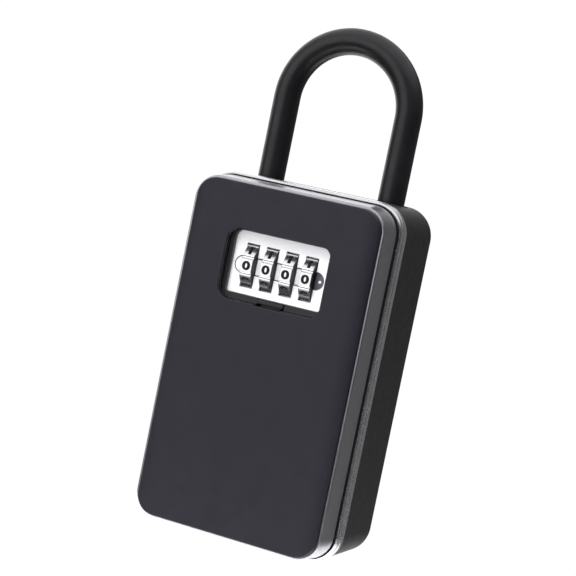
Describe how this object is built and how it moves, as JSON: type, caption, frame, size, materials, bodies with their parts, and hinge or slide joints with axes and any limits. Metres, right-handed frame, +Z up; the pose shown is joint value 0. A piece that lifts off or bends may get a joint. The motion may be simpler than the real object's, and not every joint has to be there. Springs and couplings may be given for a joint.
{
  "type": "key lock box",
  "caption": "Portable key lock box: cast case with rubber jacket, drop-down combination door with number dials and release tab, and a removable vinyl-covered shackle.",
  "frame": {"origin": "under the middle of the case's width and depth, at the lowest edge of the rim", "axes": "front pad faces -Y, +X to the viewer's right when facing the pad, +Z up along the shackle's legs"},
  "size_m": [0.072, 0.0448, 0.1742],
  "materials": {
    "cast_case": "satin silver-grey paint over a zinc casting",
    "jacket_rubber": "matte black moulded rubber",
    "seal_foam": "matte closed-cell seal",
    "plated_steel": "zinc-plated steel",
    "screw_steel": "zinc-plated screws",
    "bushing_plastic": "matte black nylon",
    "cover_metal": "stamped steel",
    "liner_foam": "soft dark foam",
    "shackle_vinyl": "satin black vinyl",
    "knob_plastic": "matte grey plastic",
    "door_metal": "satin dark grey paint over a zinc casting",
    "pad_soft_touch": "soft-touch charcoal",
    "bezel_plastic": "semi-gloss black plastic",
    "dial_chrome": "bright chrome",
    "dial_face": "bright chrome flats with black figures and black sides",
    "cam_brass": "machined brass",
    "spring_steel": "spring steel",
    "inner_plastic": "textured dark grey plastic",
    "tab_plastic": "matte black plastic"
  },
  "bodies": {
    "case": {"case_shell": "cast_case", "rear_jacket": "jacket_rubber", "door_gasket": "seal_foam", "hinge_pin": "plated_steel", "strike_plate": "plated_steel", "strike_screws": "screw_steel", "leg_bushings": "bushing_plastic", "catch_cover": "cover_metal", "catch_cover_screws": "screw_steel", "cavity_liner": "liner_foam"},
    "shackle": {"shackle_rod": "plated_steel", "shackle_sleeve": "shackle_vinyl"},
    "shackle_catch": {"shackle_catch": "plated_steel", "catch_knob": "knob_plastic"},
    "door": {"door_frame": "door_metal", "front_pad": "pad_soft_touch", "window_bezel": "bezel_plastic", "dial_plate": "dial_chrome", "dial_axle": "plated_steel", "axle_brackets": "cover_metal", "axle_spacers": "cam_brass", "detent_spring": "spring_steel", "door_back_cover": "inner_plastic", "cover_screws": "screw_steel", "bolt_guide": "cover_metal", "release_springs": "spring_steel", "bolt_springs": "spring_steel"},
    "latch_bolt": {"latch_bolt": "plated_steel"},
    "release": {"fence_plate": "plated_steel", "release_tab": "tab_plastic"},
    "code_change_lever": {"reset_lever": "cam_brass"},
    "dial_1": {"dial_ring_1": "dial_face", "dial_cam_1": "cam_brass"},
    "dial_2": {"dial_ring_2": "dial_face", "dial_cam_2": "cam_brass"},
    "dial_3": {"dial_ring_3": "dial_face", "dial_cam_3": "cam_brass"},
    "dial_4": {"dial_ring_4": "dial_face", "dial_cam_4": "cam_brass"}
  },
  "joints": [
    {"name": "door_hinge", "type": "hinge", "parent": "case", "child": "door", "pos_m": [0, -0.0111, 0.0023], "axis": [1, 0, 0], "range_deg": [0, 90]},
    {"name": "shackle_slide", "type": "slide", "parent": "case", "child": "shackle", "axis": [0, 0, 1], "range_m": [0, 0.035]},
    {"name": "shackle_catch_slide", "type": "slide", "parent": "case", "child": "shackle_catch", "axis": [0, 1, 0], "range_m": [0, 0.0016]},
    {"name": "dial_1_turn", "type": "hinge", "parent": "door", "child": "dial_1", "pos_m": [-0.01065, -0.0122, 0.09055], "axis": [1, 0, 0], "continuous": true},
    {"name": "dial_2_turn", "type": "hinge", "parent": "door", "child": "dial_2", "pos_m": [-0.00355, -0.0122, 0.09055], "axis": [1, 0, 0], "continuous": true},
    {"name": "dial_3_turn", "type": "hinge", "parent": "door", "child": "dial_3", "pos_m": [0.00355, -0.0122, 0.09055], "axis": [1, 0, 0], "continuous": true},
    {"name": "dial_4_turn", "type": "hinge", "parent": "door", "child": "dial_4", "pos_m": [0.01065, -0.0122, 0.09055], "axis": [1, 0, 0], "continuous": true},
    {"name": "release_slide", "type": "slide", "parent": "door", "child": "release", "axis": [0, 0, -1], "range_m": [0, 0.0024], "stiffness_N_per_m": 400, "deforming": ["release_springs"]},
    {"name": "latch_bolt_slide", "type": "slide", "parent": "door", "child": "latch_bolt", "axis": [0, 0, -1], "range_m": [-0.0024, 0], "deforming": ["bolt_springs"]},
    {"name": "code_change_lever_turn", "type": "hinge", "parent": "door", "child": "code_change_lever", "pos_m": [0, -0.01, 0.0648], "axis": [0, 1, 0], "range_deg": [-90, 0]}
  ]
}
